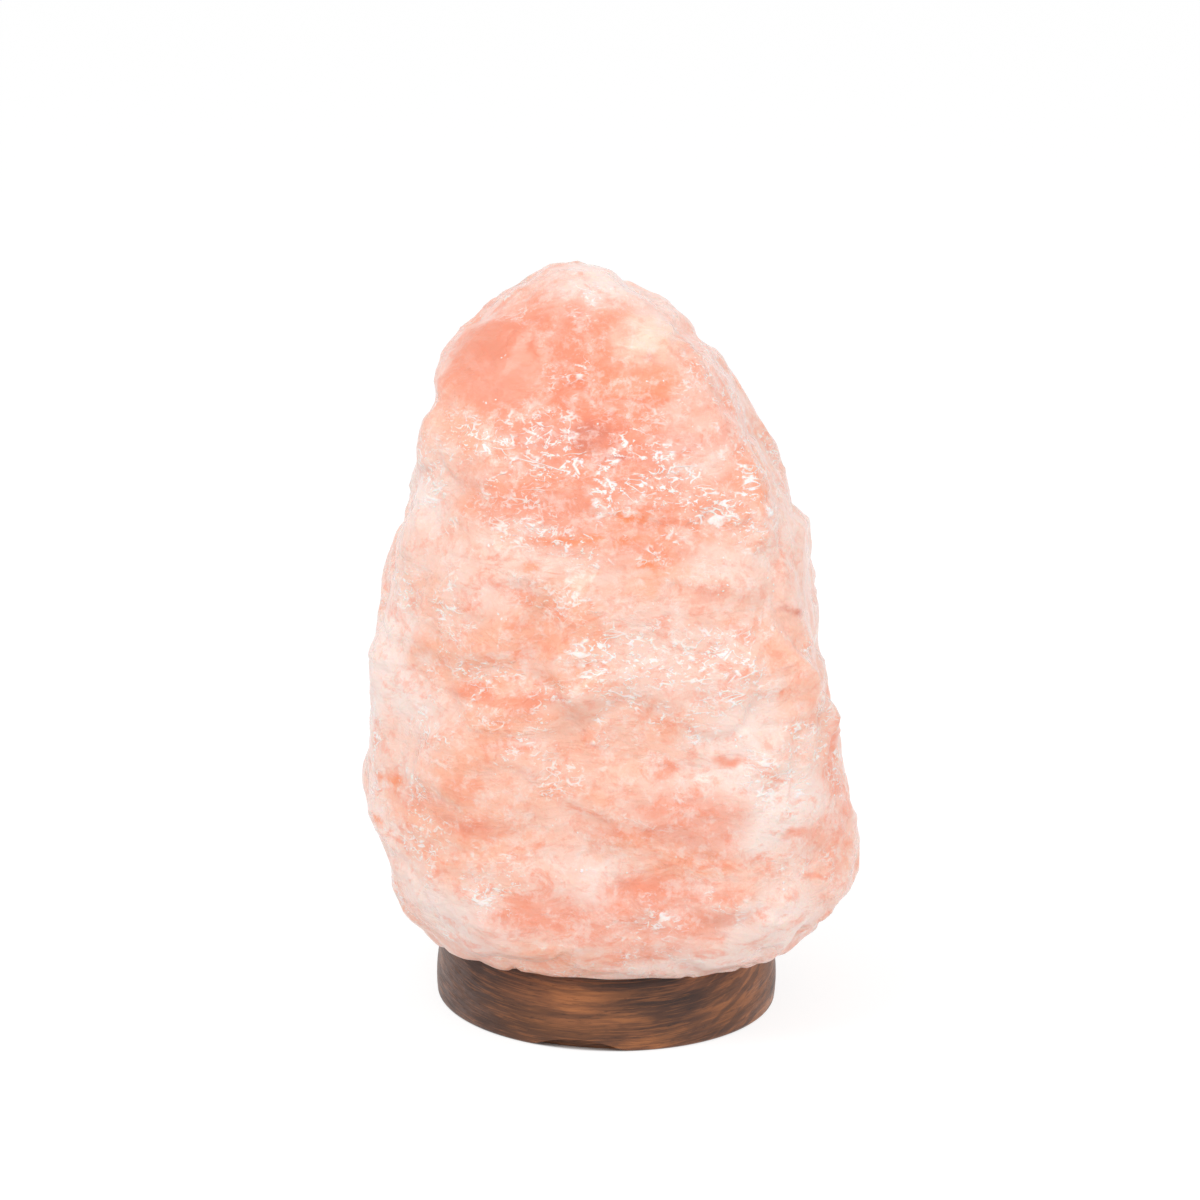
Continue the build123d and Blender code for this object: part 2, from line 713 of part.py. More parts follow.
def glass_body(radius, neck, top, overrun):
    """Solid inside one face of the envelope."""
    neck_top = glass_bottom + glass_neck_straight
    belly = glass_top - glass_diameter / 2
    side = Spline((neck, neck_top), (radius, belly), tangents=((0, 1), (0, 1)))
    middle = radius * math.sqrt(0.5)
    crown = ThreePointArc((radius, belly), (middle, belly + middle * (top - belly) / radius), (0, top))
    bottom = glass_bottom - overrun
    foot = Polyline((0, top), (0, bottom), (neck, bottom), (neck, neck_top))
    return revolve(Plane.XZ * make_face([side, crown, foot]), Axis.Z)


def make_bulb_stem():
    """Glass stem that closes the neck and carries the wires."""
    foot = stem_foot_diameter / 2
    waist = stem_top_diameter
    tip = stem_top_diameter / 2
    outline = Polyline(
        (0, glass_bottom),
        (foot, glass_bottom),
        (foot, glass_bottom + stem_rim_height),
        (waist, glass_bottom + stem_height / 3),
        (tip, glass_bottom + stem_height / 2),
        (tip, stem_top),
        (0, stem_top),
        close=True)
    return turned(outline)


def wire(points, diameter, bend):
    """Round wire along straight runs with bends between them."""
    path = FilletPolyline(*points, radius=bend) if len(points) > 2 else Line(*points)
    start = Plane(origin=path @ 0, z_dir=path % 0)
    return sweep(start * Circle(diameter / 2), path=path)


def make_filament():
    """Fine wire carried in a low zigzag over the lead wires and the middle support."""
    half = filament_span / 2
    low = filament_height - filament_drop
    points = [(-half, 0, filament_height), (-half / 2, 0, low), (0, 0, filament_height)]
    points += [(half / 2, 0, low), (half, 0, filament_height)]
    return wire(points, filament_diameter, wire_bend)


def make_filament_supports():
    """Two lead wires that end beside the filament and one middle support that ends under it."""
    slope = math.atan2(filament_drop, filament_span / 4)
    side_gap = filament_diameter / 2 * math.sin(slope) + lead_diameter / 2 + lead_gap
    reach = filament_span / 2 + side_gap
    knee = filament_height - filament_drop - lead_diameter
    pieces = []
    for side in (-1, 1):
        points = [(side * lead_spread, 0, stem_top), (side * lead_spread, 0, stem_top + lead_straight)]
        points += [(side * reach, 0, knee), (side * reach, 0, filament_height + filament_diameter)]
        pieces.append(wire(points, lead_diameter, wire_bend))
    crest = filament_height - wire_bend * (1 / math.cos(slope) - 1) - filament_diameter / 2
    pieces.append(wire([(0, 0, stem_top), (0, 0, crest - lead_gap)], lead_diameter / 2, 0))
    return Compound(children=pieces)


# ------------------------------------------------------------------ the lamp
def both_sides(shape):
    return around(shape, (0, 180))


nodes = {
    "salt_crystal": make_salt_crystal(),
    "wooden_base": make_wooden_base(),
    "base_screws": around(make_base_screw(), screw_directions),
    "wall_plugs": around(make_wall_plug(), screw_directions),
    "holder_sleeve": make_holder_sleeve(),
    "holder_cap": make_holder_cap(),
    "cord_nipple": make_cord_nipple(),
    "socket_insert": make_socket_insert(),
    "screw_shell": make_screw_shell(),
    "centre_contact": make_centre_contact(),
    "terminal_blocks": both_sides(make_terminal_block()),
    "terminal_screws": both_sides(make_terminal_screw()),
    "clip_collar": make_clip_collar(),
    "wing_roots": both_sides(make_wing_root()),
    "clip_rivets": Compound(children=[
        at_direction(make_rivet(place), side)
        for side in (0, 180)
        for place in (-rivet_spacing / 2, rivet_spacing / 2)]),
    "right_wing": make_wing(),
    "left_wing": at_direction(make_wing(), 180),
    "bulb_tip_contact": make_bulb_tip_contact(),
    "bulb_cap_insulator": make_bulb_cap_insulator(),
    "bulb_cap": make_bulb_cap(),
    "bulb_glass": make_bulb_glass(),
    "bulb_stem": make_bulb_stem(),
    "filament": make_filament(),
    "filament_supports": make_filament_supports(),
}

os.makedirs("parts", exist_ok=True)
for name, shape in nodes.items():
    export_step(shape, f"parts/{name}.step")

print("wing hinge at x", round(wing_hinge_reach, 3), "z", wing_hinge_height)
print("shell from", shell_bottom, "to", shell_bottom + shell_height)
print("cap thread from", cap_thread_bottom, "to", cap_thread_top)
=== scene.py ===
import json
import math
import random

import bmesh
import bpy
from mathutils import Matrix, Vector, noise
from mathutils.kdtree import KDTree

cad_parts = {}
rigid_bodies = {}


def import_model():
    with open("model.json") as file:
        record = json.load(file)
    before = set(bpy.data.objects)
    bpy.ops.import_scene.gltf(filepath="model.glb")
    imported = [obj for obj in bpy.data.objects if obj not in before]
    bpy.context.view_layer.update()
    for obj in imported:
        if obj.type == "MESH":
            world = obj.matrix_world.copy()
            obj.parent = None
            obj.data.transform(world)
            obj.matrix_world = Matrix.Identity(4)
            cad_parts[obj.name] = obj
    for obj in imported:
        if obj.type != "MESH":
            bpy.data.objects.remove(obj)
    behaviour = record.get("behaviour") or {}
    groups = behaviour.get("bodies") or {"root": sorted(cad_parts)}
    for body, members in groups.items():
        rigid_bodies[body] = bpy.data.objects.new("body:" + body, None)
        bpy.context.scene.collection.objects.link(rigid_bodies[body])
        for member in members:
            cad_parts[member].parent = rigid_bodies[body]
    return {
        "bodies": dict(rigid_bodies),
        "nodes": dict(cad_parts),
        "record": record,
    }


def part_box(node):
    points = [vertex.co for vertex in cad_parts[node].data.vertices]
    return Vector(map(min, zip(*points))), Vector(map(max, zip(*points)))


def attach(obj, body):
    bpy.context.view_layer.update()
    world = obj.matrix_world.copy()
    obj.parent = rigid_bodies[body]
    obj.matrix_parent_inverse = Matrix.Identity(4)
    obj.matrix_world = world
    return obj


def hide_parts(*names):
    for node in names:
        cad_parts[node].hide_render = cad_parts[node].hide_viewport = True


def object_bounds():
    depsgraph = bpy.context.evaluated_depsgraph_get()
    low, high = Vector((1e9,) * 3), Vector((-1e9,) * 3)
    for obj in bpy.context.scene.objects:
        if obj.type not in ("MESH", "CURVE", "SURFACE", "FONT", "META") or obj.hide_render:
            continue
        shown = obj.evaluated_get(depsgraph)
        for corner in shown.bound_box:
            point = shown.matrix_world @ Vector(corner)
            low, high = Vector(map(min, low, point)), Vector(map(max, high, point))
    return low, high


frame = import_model()
cadLow, cadHigh = [list(corner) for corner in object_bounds()]
mm = 0.001


def say(stage):
    print("salt lamp:", stage)


# an 8-bit screen colour as the linear one that a shader takes
def tint(red, green, blue):
    parts = [value / 255 for value in (red, green, blue)]
    return (*[part / 12.92 if part <= 0.04045 else ((part + 0.055) / 1.055) ** 2.4 for part in parts], 1.0)


# a material and short ways to add nodes to it
class Paint:
    def __init__(self, name):
        self.material = bpy.data.materials.new(name)
        self.material.use_nodes = True
        self.tree = self.material.node_tree
        self.tree.nodes.clear()
        self.place = self.node("ShaderNodeTexCoord").outputs["Object"]

    def node(self, kind, inputs=None, **settings):
        made = self.tree.nodes.new(kind)
        for key, value in settings.items():
            setattr(made, key, value)
        for key, value in (inputs or {}).items():
            self.plug(value, made.inputs[key])
        return made

    def plug(self, value, socket):
        if isinstance(value, bpy.types.NodeSocket):
            self.tree.links.new(value, socket)
        else:
            socket.default_value = value

    def stretched(self, stretch=(1, 1, 1), shift=(0, 0, 0), at=None):
        return self.node("ShaderNodeMapping", {
            "Vector": at or self.place, "Scale": stretch, "Location": shift}).outputs[0]

    def noise(self, scale, detail=3.0, roughness=0.5, distortion=0.0, at=None, colour=False):
        made = self.node("ShaderNodeTexNoise", {
            "Vector": at or self.place, "Scale": scale, "Detail": detail,
            "Roughness": roughness, "Distortion": distortion})
        return made.outputs["Color" if colour else "Fac"]

    def cells(self, scale, at):
        return self.node("ShaderNodeTexVoronoi", {"Vector": at, "Scale": scale}).outputs["Distance"]

    def calc(self, operation, first, second=0.0, clamp=False):
        return self.node("ShaderNodeMath", {0: first, 1: second},
                         operation=operation, use_clamp=clamp).outputs[0]

    # a smooth rise from toLow to toHigh while the value goes from low to high
    def span(self, value, low, high, toLow=0.0, toHigh=1.0):
        return self.node("ShaderNodeMapRange", {
            "Value": value, "From Min": low, "From Max": high, "To Min": toLow, "To Max": toHigh},
            interpolation_type="SMOOTHSTEP").outputs[0]

    def mix(self, factor, first, second):
        return self.node("ShaderNodeMix", {0: factor, 6: first, 7: second}, data_type="RGBA").outputs[2]

    def ramp(self, value, stops):
        made = self.node("ShaderNodeValToRGB", {"Fac": value})
        made.color_ramp.interpolation = "EASE"
        while len(made.color_ramp.elements) < len(stops):
            made.color_ramp.elements.new(0.5)
        for element, (position, colour) in zip(made.color_ramp.elements, stops):
            element.position = position
            element.color = colour
        return made.outputs["Color"]

    # the place moved to and fro by a noise, up to half the amount each way
    def shiftedPlace(self, amount, scale, detail=2.0):
        wander = self.noise(scale, detail, colour=True)
        wobble = self.node("ShaderNodeVectorMath", {
            0: wander, 1: (0.5, 0.5, 0.5)}, operation="SUBTRACT").outputs[0]
        moved = self.node("ShaderNodeVectorMath", {0: wobble, "Scale": amount}, operation="SCALE").outputs[0]
        return self.node("ShaderNodeVectorMath", {0: self.place, 1: moved}, operation="ADD").outputs[0]

    def bump(self, height, distance, strength=1.0, normal=None):
        inputs = {"Height": height, "Distance": distance, "Strength": strength}
        if normal is not None:
            inputs["Normal"] = normal
        return self.node("ShaderNodeBump", inputs).outputs[0]

    def finish(self, **values):
        names = {key: key.replace("_", " ") for key in values}
        shader = self.node("ShaderNodeBsdfPrincipled", {names[key]: value for key, value in values.items()})
        out = self.node("ShaderNodeOutputMaterial", {"Surface": shader.outputs[0]})
        out.is_active_output = True
        return self.material


say("frame loaded")

cameraSetup = {
    "place": (-4.60 * mm, -1072.26 * mm, 407.31 * mm),
    "lookDown": 14.457,     # degrees below level
    "roll": 1.2,            # degrees, the table falls a little to the right in the picture
    "lens": 105.0, "sensor": 36.0,
}


def makeCamera():
    data = bpy.data.cameras.new("camera")
    data.lens = cameraSetup["lens"]
    data.sensor_width = cameraSetup["sensor"]
    camera = bpy.data.objects.new("camera", data)
    bpy.context.scene.collection.objects.link(camera)
    turn = Matrix.Rotation(math.radians(90 - cameraSetup["lookDown"]), 4, "X")
    roll = Matrix.Rotation(math.radians(cameraSetup["roll"]), 4, "Z")
    camera.matrix_world = Matrix.Translation(cameraSetup["place"]) @ turn @ roll
    bpy.context.scene.camera = camera


lighting = {
    "worldStrength": 0.67,
    "aim": (0, 0, 0.12),
    "keyPlace": (-0.55, -0.75, 1.15), "keySize": 0.6, "keyPower": 6.8,
    "fillPlace": (0.9, -0.5, 0.7), "fillSize": 0.9, "fillPower": 3.0,
    "tableReach": 6.0,
    "tableColour": (0.84, 0.84, 0.84, 1.0),
    "shadowShare": 0.32,    # how much of the table's brightness the object can shade
    "tableGlow": 1.20,
    "dimInside": 53 * mm, "dimOutside": 54.5 * mm,        # the table under the foot stays dark
    "viewInside": 51.0 * mm, "viewOutside": 51.4 * mm,    # and inside this it can be seen through
}


def makeLamp(name, place, size, power):
    data = bpy.data.lights.new(name, "AREA")
    data.shape = "DISK"
    data.size = size
    data.energy = power
    lamp = bpy.data.objects.new(name, data)
    bpy.context.scene.collection.objects.link(lamp)
    aim = Vector(lighting["aim"]) - Vector(place)
    lamp.matrix_world = Matrix.Translation(place) @ aim.to_track_quat("-Z", "Y").to_matrix().to_4x4()


def makeWorld():
    world = bpy.data.worlds.new("studio")
    world.use_nodes = True
    tree = world.node_tree
    tree.nodes.clear()
    path = tree.nodes.new("ShaderNodeLightPath")
    direct, seen = [tree.nodes.new("ShaderNodeMath") for _ in range(2)]
    direct.operation = seen.operation = "MAXIMUM"
    tree.links.new(path.outputs["Is Camera Ray"], direct.inputs[0])
    tree.links.new(path.outputs["Is Transmission Ray"], direct.inputs[1])
    tree.links.new(direct.outputs[0], seen.inputs[0])
    tree.links.new(path.outputs["Is Glossy Ray"], seen.inputs[1])
    plain, white = [tree.nodes.new("ShaderNodeBackground") for _ in range(2)]
    plain.inputs["Strength"].default_value = lighting["worldStrength"]
    plain.inputs["Color"].default_value = (1, 1, 1, 1)
    white.inputs["Color"].default_value = (1, 1, 1, 1)
    choose = tree.nodes.new("ShaderNodeMixShader")
    out = tree.nodes.new("ShaderNodeOutputWorld")
    tree.links.new(seen.outputs[0], choose.inputs[0])
    tree.links.new(plain.outputs[0], choose.inputs[1])
    tree.links.new(white.outputs[0], choose.inputs[2])
    tree.links.new(choose.outputs[0], out.inputs["Surface"])
    bpy.context.scene.world = world


# white table that keeps the lamp's shadow; from below, and under the hollow, it can be seen through
def floorMaterial():
    paint = Paint("white_table")
    path = paint.node("ShaderNodeLightPath")
    seen = paint.calc("MAXIMUM", path.outputs["Is Camera Ray"], path.outputs["Is Transmission Ray"])
    seen = paint.calc("MAXIMUM", seen, path.outputs["Is Glossy Ray"])
    plain = paint.node("ShaderNodeBsdfDiffuse", {"Color": lighting["tableColour"]})
    glow = paint.node("ShaderNodeEmission", {"Color": (1, 1, 1, 1), "Strength": lighting["tableGlow"]})
    reach = paint.node("ShaderNodeVectorMath", {0: paint.place}, operation="LENGTH").outputs["Value"]
    outside = paint.span(reach, lighting["dimInside"], lighting["dimOutside"])
    share = paint.calc("MULTIPLY", seen, paint.calc("MULTIPLY", outside, 1 - lighting["shadowShare"]))
    top = paint.node("ShaderNodeMixShader", {0: share, 1: plain.outputs[0], 2: glow.outputs[0]})
    clear = paint.node("ShaderNodeBsdfTransparent")
    back = paint.node("ShaderNodeNewGeometry").outputs["Backfacing"]
    under = paint.span(reach, lighting["viewInside"], lighting["viewOutside"], 1.0, 0.0)
    gone = paint.calc("MAXIMUM", back, under)
    both = paint.node("ShaderNodeMixShader", {0: gone, 1: top.outputs[0], 2: clear.outputs[0]})
    paint.node("ShaderNodeOutputMaterial", {"Surface": both.outputs[0]})
    return paint.material


# the table goes down with the holder when it is pulled out, so that the pulled holder stays in sight
def makeFloor():
    shape = bmesh.new()
    bmesh.ops.create_grid(shape, x_segments=1, y_segments=1, size=lighting["tableReach"])
    data = bpy.data.meshes.new("table_top")
    shape.to_mesh(data)
    shape.free()
    data.materials.append(floorMaterial())
    floor = bpy.data.objects.new("table_top", data)
    bpy.context.scene.collection.objects.link(floor)
    floor.parent = frame["bodies"]["holder"]


makeCamera()
makeWorld()
makeLamp("key_light", lighting["keyPlace"], lighting["keySize"], lighting["keyPower"])
makeLamp("fill_light", lighting["fillPlace"], lighting["fillSize"], lighting["fillPower"])
makeFloor()
bpy.context.scene.view_settings.view_transform = "Standard"
say("camera, lights and table")

rock = {
    "voxel": 1.3 * mm,
    "seat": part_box("salt_crystal")[0][2],       # underside that stands on the wood
    "cavityRadius": 30 * mm, "cavityTop": 140 * mm,     # the bored hollow inside these stays smooth
    "weld": 0.002 * mm,                         # points of the solid closer than this are one
    # sheets of cleaved facets: spacing, tilt, height change, width of the worn edges
    "facets": [(30 * mm, 0.11, 0.9 * mm, 6 * mm), (12 * mm, 0.11, 0.28 * mm, 2.6 * mm)],
    "facetsBlended": 5,                         # neighbours that may share a worn edge
    "warp": 5 * mm, "warpScale": 60.0,
    "swell": 0.8 * mm, "swellScale": 28.0,
    "grit": 0.32 * mm, "gritScale": 150.0, "gritFalloff": 0.8, "gritOctaves": 4,
    # cleavage steps: height apart, rise, wander, slope to the side, sharpness of the edge, mean height
    "terrace": 9 * mm, "terraceRise": 0.55 * mm, "terraceWarp": 5 * mm, "terraceScale": 32.0,
    "terraceSlope": 0.15, "terraceEdge": 0.12, "terraceMean": 0.4,
    "terraceShift": (7, 3, 5), "terraceFade": (-0.1, 0.35),
    "stepEdge": 1.0 * mm,                       # half the width of a listed step's edge
    "calmShare": 0.85,                          # how much of the relief a smooth place loses
    "reliefFrom": 0.8 * mm, "reliefTo": 9 * mm,         # heights over the seat where the relief sets in
    "chipFrom": 3 * mm, "chipTo": 10 * mm,              # heights over the seat where the chips fade out
    "rimFrom": 50 * mm, "rimTo": 54 * mm,               # distances from the axis where the chips set in
    "farAway": 6.0,                             # squared, in reaches: past it a lump does nothing
    "seed": 11,
}
# listed dents (negative) and lumps (positive): place, reach and height, all in mm
rockLumps = [
    ((18, 4, 226), (9, 16, 6), 1.8),            # small second summit
    ((11, 0, 228), (4, 16, 4), -1.2),
    ((68, -18, 92), (9, 24, 5), -0.8),          # ledge on the right
    ((73, -20, 104), (9, 26, 7), -2.6),
    ((48, -8, 196), (10, 30, 10), -3.0),
    ((4, 6, 233), (9, 20, 4), -1.6),
    ((-57, -12, 206), (10, 30, 10), 2.4),       # left side
    ((-75, -25, 66), (10, 30, 7), 1.4),
    ((10, -60, 72), (22, 14, 12), -0.8),
    ((-25, -66, 60), (18, 14, 10), 0.8),
    ((-10, -62, 140), (26, 14, 16), 0.7),
]
# listed steps: a point of the edge, the reach in mm, the side that stands proud, height in mm
rockSteps = [
    ((-57, -38, 180), (7, 16, 7), (-0.6, 0.0, 0.8), 2.0),       # flake over the left side
    ((-50, -40, 180), (6, 16, 7), (0.7, 0.0, 0.7), 1.6),
    ((-68, -44, 118), (7, 20, 15), (-1.0, 0.0, 0.15), 1.6),     # crust on the left edge
    ((6, -30, 217), (12, 14, 6), (0.3, 0.0, 0.95), 1.4),        # pale flake near the summit
    ((16, -18, 222), (9, 14, 8), (-0.9, 0.0, 0.3), 1.2),
    ((4, -57, 171), (30, 20, 5), (0.1, 0.0, 1.0), 0.6),         # long ledges across the front
    ((-20, -62, 153), (28, 20, 5), (-0.15, 0.0, 1.0), 0.4),
    ((28, -60, 150), (22, 20, 5), (0.2, 0.0, 1.0), 0.5),
    ((-6, -66, 117), (26, 20, 5), (0.1, 0.0, 1.0), 0.2),
    ((28, -62, 122), (18, 20, 6), (-0.4, 0.0, 0.9), 0.4),
    ((4, -68, 80), (20, 20, 5), (0.15, 0.0, 1.0), 0.6),
    ((47, -40, 176), (10, 18, 5), (-0.4, 0.0, 0.9), 1.0),
    ((64, -50, 112), (6, 18, 26), (-1.0, 0.0, 0.1), 1.4),       # edge of the right side face
    ((-10, -46, 194), (22, 16, 4), (0.15, 0.0, -1.0), 0.9),
]
# chips broken out of the lower rim, over the wood: direction and half width in degrees, depth in mm
rockChips = [
    (230, 6, 1.2), (242, 2.5, 1.5), (247, 8, 0.7), (262, 9, 0.4), (283, 13, 0.6), (294, 2, 0.8),
    (303, 8, 0.8), (311, 2.5, 1.2), (321, 9, 1.4), (336, 6, 1.2),
    (10, 6, 1.8), (48, 4, 1.4), (82, 6, 2.0), (120, 4, 1.6), (158, 5, 2.2), (196, 4, 1.6), (215, 3, 1.2),
]
# places without grain: centre and reach in mm
rockCalm = [
    ((-44, -28, 214), (17, 18, 15)),
    ((-28, -34, 214), (12, 16, 9)),
]


def smoothStep(value, low, high):
    share = min(1.0, max(0.0, (value - low) / (high - low)))
    return share * share * (3 - 2 * share)


def nearness(point, place, reach):
    gap = sum(((point[k] / mm - place[k]) / reach[k]) ** 2 for k in range(3))
    return math.exp(-gap) if gap < rock["farAway"] else 0.0


def facetSheet(spacing, tilt, rise, dice):
    low, high = [Vector(corner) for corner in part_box("salt_crystal")]
    size = high - low
    count = int(size.x * size.y * size.z / spacing ** 3)
    seeds = []
    tree = KDTree(count)
    for number in range(count):
        place = Vector([low[k] + dice.random() * size[k] for k in range(3)])
        lean = Vector([dice.uniform(-tilt, tilt) for _ in range(3)])
        seeds.append((place, lean, dice.uniform(-rise, rise)))
        tree.insert(place, number)
    tree.balance()
    return seeds, tree


# height of a sheet of flat facets that run into each other along worn edges
def facetHeight(sheet, point, edge):
    seeds, tree = sheet
    found = tree.find_n(point, rock["facetsBlended"])
    total = weights = 0.0
    for _, number, gap in found:
        place, lean, rise = seeds[number]
        weight = max(0.0, 1 - (gap - found[0][2]) / edge) ** 2
        total += weight * (rise + lean.dot(point - place))
        weights += weight
    return total / weights


# cleavage steps, one above the other, that fade in and out
def terraceHeight(point):
    wander = noise.noise(point * rock["terraceScale"]) * rock["terraceWarp"]
    share = ((point.z + rock["terraceSlope"] * point.x + wander) / rock["terrace"]) % 1.0
    patches = noise.noise(point * rock["swellScale"] + Vector(rock["terraceShift"]))
    fade = smoothStep(patches, *rock["terraceFade"])
    ledge = smoothStep(share, 0.0, rock["terraceEdge"]) * (1 - share)
    return rock["terraceRise"] * fade * (ledge - rock["terraceMean"])


def handHeight(point):
    total = sum(rise * mm * nearness(point, place, reach) for place, reach, rise in rockLumps)
    for place, reach, side, rise in rockSteps:
        near = nearness(point, place, reach)
        if near > 0.02:     # weaker than this isn't seen
            past = sum((point[k] - place[k] * mm) * side[k] for k in range(3))
            total += rise * mm * near * (smoothStep(past, -rock["stepEdge"], rock["stepEdge"]) - 0.5)
    return total


# how far the lower rim is lifted by its chips
def chipLift(point):
    low = 1 - smoothStep(point.z, rock["seat"] + rock["chipFrom"], rock["seat"] + rock["chipTo"])
    out = smoothStep(math.hypot(point.x, point.y), rock["rimFrom"], rock["rimTo"])
    if low * out == 0:
        return 0.0
    turn = math.degrees(math.atan2(point.y, point.x))
    total = 0.0
    for direction, half, depth in rockChips:
        gap = abs((turn - direction + 180) % 360 - 180) / half
        total += depth * mm * max(0.0, 1 - gap)
    return total * low * out


def rockHeight(point, sheets):
    calm = 1 - rock["calmShare"] * max(nearness(point, *zone) for zone in rockCalm)
    warped = point + noise.noise_vector(point * rock["warpScale"]) * rock["warp"]
    rise = sum(facetHeight(sheet, warped, edge) for sheet, edge in sheets)
    rise += rock["swell"] * noise.noise(point * rock["swellScale"])
    rise += rock["grit"] * noise.fractal(
        point * rock["gritScale"], rock["gritFalloff"], 2.0, rock["gritOctaves"])
    rise += terraceHeight(point)
    return rise * calm + handHeight(point)


# a closed copy of a CAD solid, as a new piece
def copyOfNode(node, name):
    data = frame["nodes"][node].data.copy()
    data.name = name
    data.materials.clear()
    shape = bmesh.new()
    shape.from_mesh(data)
    bmesh.ops.remove_doubles(shape, verts=shape.verts, dist=rock["weld"])
    bmesh.ops.recalc_face_normals(shape, faces=shape.faces)
    shape.to_mesh(data)
    shape.free()
    piece = bpy.data.objects.new(name, data)
    bpy.context.scene.collection.objects.link(piece)
    return piece


def applyModifiers(piece):
    graph = bpy.context.evaluated_depsgraph_get()
    data = bpy.data.meshes.new_from_object(piece.evaluated_get(graph))
    piece.modifiers.clear()
    piece.data = data


def makeRock(material):
    piece = copyOfNode("salt_crystal", "salt_rock")
    remesh = piece.modifiers.new("remesh", "REMESH")
    remesh.mode = "VOXEL"
    remesh.voxel_size = rock["voxel"] * 1
    applyModifiers(piece)
    noise.seed_set(rock["seed"])    # without it, noise_vector differs from run to run
    dice = random.Random(rock["seed"])
    sheets = [(facetSheet(spacing, tilt, rise, dice), edge) for spacing, tilt, rise, edge in rock["facets"]]
    shape = bmesh.new()
    shape.from_mesh(piece.data)
    shape.normal_update()
    reliefFrom, reliefTo = rock["seat"] + rock["reliefFrom"], rock["seat"] + rock["reliefTo"]
    moves = []
    for vert in shape.verts:
        point = vert.co
        inHollow = math.hypot(point.x, point.y) < rock["cavityRadius"] and point.z < rock["cavityTop"]
        free = 0.0 if inHollow else smoothStep(point.z, reliefFrom, reliefTo)
        moves.append(vert.normal * rockHeight(point, sheets) * free if free else None)
    for vert, move in zip(shape.verts, moves):
        vert.co.z += chipLift(vert.co)
        if move is not None:
            vert.co += move
            for k in range(3):      # the rock stays inside the solid's box
                vert.co[k] = min(max(vert.co[k], cadLow[k]), cadHigh[k])
    shape.to_mesh(piece.data)
    shape.free()
    piece.data.shade_smooth()
    piece.data.materials.append(material)
    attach(piece, "lamp_body")
    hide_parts("salt_crystal")
    print("  rock vertices", len(piece.data.vertices))


salt = {
    "deep": tint(212, 116, 92), "orange": tint(248, 138, 82), "clay": tint(230, 140, 112),
    "salmon": tint(242, 146, 114), "rose": tint(240, 164, 142), "peach": tint(249, 184, 156),
    "blush": tint(249, 209, 194), "cream": tint(253, 226, 206), "pale": tint(251, 230, 222),
    # edge is the colour of the painted reflection on the edges that turn away
    "edge": tint(249, 219, 212), "white": tint(255, 252, 250),
    "glow": 5 * mm,         # how deep light spreads in the salt
    "paintedGlow": 0.04,     # painted glow: a faint orange emission that lightens the shaded places, in place of daylight through the salt
    "banding": (1.0, 1.0, 1.8),         # clouds and veils are flatter than they are wide
    # the broad pattern: scale, detail, roughness and twist, and where each shade lies in it
    "broad": (20.0, 5.0, 0.6, 0.5),
    "shades": [(0.30, "salmon"), (0.42, "peach"), (0.56, "blush"), (0.72, "pale")],
    # fraying of the borders of clouds and of small marks: how far, its scale and detail
    "cloudFray": (40 * mm, 42.0, 6.0), "markFray": (13 * mm, 110.0, 6.0),
    "cloudSoftness": 0.7, "markSoftness": 0.8, "gatherSoftness": 0.6, "calmSoftness": 0.9,
    # painted reflection: the edges that turn away from the view are painted paler; blend, from, to, strength
    "rim": (0.30, 0.35, 0.95, 0.65),
    # relief too fine for the mesh: the pattern, its height and strength
    "waves": ((62.0, 4.0, 0.6, 0.6), 3.0 * mm, 0.6),
    "cleaved": (85.0, 2.0 * mm, 0.35), "cleavedFray": (10 * mm, 60.0),
    "fine": ((260.0, 6.0, 0.65), 1.0 * mm, 0.55),
    "proud": 0.4,           # how much the white cracks and painted glints stand out of the fine relief
    "crackAndGlintStrength": 0.95,
    # bright grains, partly painted glints: scale, fray, edge
    "grainsAndGlints": 420.0, "grainFray": (2 * mm, 300.0), "grainEdge": (0.10, 0.22),
    # scale of the pattern of smooth and rough places, the span that shows, roughness from and to
    "roughness": (60.0, 0.35, 0.65, 0.22, 0.45),
}
# veils of colour inside the salt: scale of the pattern, its roughness and twist, shift, the span that
# shows, colour, strength
saltVeils = [
    (75.0, 0.66, 0.6, (0, 0, 0), (0.47, 0.62), "blush", 0.50),
    (95.0, 0.66, 0.8, (4, 4, 4), (0.52, 0.68), "salmon", 0.62),
]
# the same at the size of a grain: bright milk, then murk
saltMilk = (190.0, 0.74, 0.2, (0, 0, 0), (0.49, 0.63), "pale", 0.46)
saltMurk = (150.0, 0.74, 0.2, (6, 1, 9), (0.50, 0.64), "salmon", 0.42)
# white strokes, partly inner cracks and partly painted glints: scale of the pattern, width, how flat, shift,
# share that is left out
crackAndGlintStrokes = [
    (42.0, 0.014, 2.2, (3, 1, 2), 0.50),
    (75.0, 0.024, 2.0, (1, 7, 4), 0.50),
    (130.0, 0.038, 1.8, (5, 2, 8), 0.50),
    (230.0, 0.055, 1.6, (8, 4, 1), 0.52),
]
# how a stroke is drawn: twists and gaps are scaled with its pattern, the core with its width
strokeLook = {
    "twist": 0.35, "twistScale": 0.9, "core": 0.2,
    "gapScale": 2.2, "gapBorders": (-0.02, 0.06),
}
# places that a noise picks out: scale, detail, roughness and twist, shift, the span that shows, strength
saltPatches = {
    "loose": ((30.0, 5.0, 0.65), (3, 1, 2), (0.46, 0.58), 0.85),        # groups of cracks and painted glints on all sides
    "broken": ((70.0, 4.0, 0.6), (9, 2, 6), (0.44, 0.56), 1.0),         # breaks in every group
    "frost": ((230.0, 5.0, 0.7, 0.5), (0, 0, 0), (0.60, 0.70), 0.75),   # frosty places between cracks
    "grainsAndGlints": ((95.0, 4.0, 0.6), (2, 8, 3), (0.58, 0.66), 1.0),         # single bright grains, partly painted glints
}
